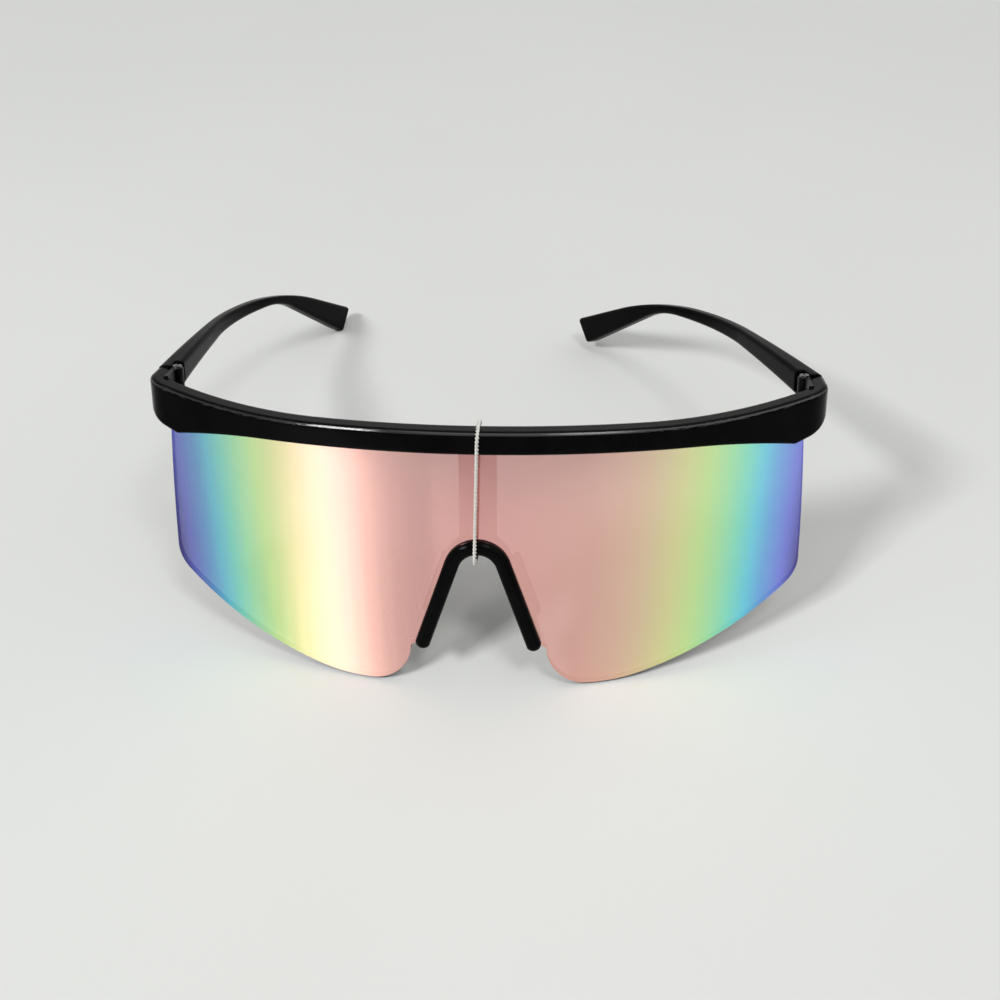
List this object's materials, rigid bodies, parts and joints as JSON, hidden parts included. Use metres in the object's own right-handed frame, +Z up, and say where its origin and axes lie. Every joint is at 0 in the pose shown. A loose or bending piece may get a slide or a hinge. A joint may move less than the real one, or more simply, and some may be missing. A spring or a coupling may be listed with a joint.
{
  "type": "shield sunglasses",
  "caption": "Shield sunglasses with one curved mirrored lens hung from a black brow bar, a clip-on nose piece and folding temples with broad tips.",
  "frame": {"origin": "centre of the base of the bounding box at rest, on the table that the lens lobes and the left temple tip stand on", "axes": "+X to the right of someone who looks at the front of the lens, +Y from the lens back to the temple tips, +Z up from the table"},
  "size_m": [0.1464, 0.1428, 0.0573],
  "materials": {
    "frame_black": "gloss",
    "lens_mirror": "mirror coated, pastel from pink in the middle to blue and violet at the sides",
    "nose_black": "gloss",
    "hinge_metal": "satin",
    "screw_metal": "bright",
    "thread_white": "twisted"
  },
  "bodies": {
    "front": {"brow_bar": "frame_black", "shield_lens": "lens_mirror", "nose_piece": "nose_black", "tag_thread": "thread_white", "hinge_front_leaf_left": "hinge_metal", "hinge_front_leaf_right": "hinge_metal", "hinge_screw_left": "screw_metal", "hinge_screw_right": "screw_metal"},
    "temple_left": {"temple_left": "frame_black", "hinge_temple_leaf_left": "hinge_metal"},
    "temple_right": {"temple_right": "frame_black", "hinge_temple_leaf_right": "hinge_metal"}
  },
  "joints": [
    {"name": "temple_left_fold", "type": "hinge", "parent": "front", "child": "temple_left", "pos_m": [-0.0689, -0.02763, 0.04553], "axis": [0, -0.3253, -0.9456], "range_deg": [0, 78]},
    {"name": "temple_right_fold", "type": "hinge", "parent": "front", "child": "temple_right", "pos_m": [0.0689, -0.02763, 0.04553], "axis": [0, 0.3253, 0.9456], "range_deg": [-16.5, 72]}
  ]
}
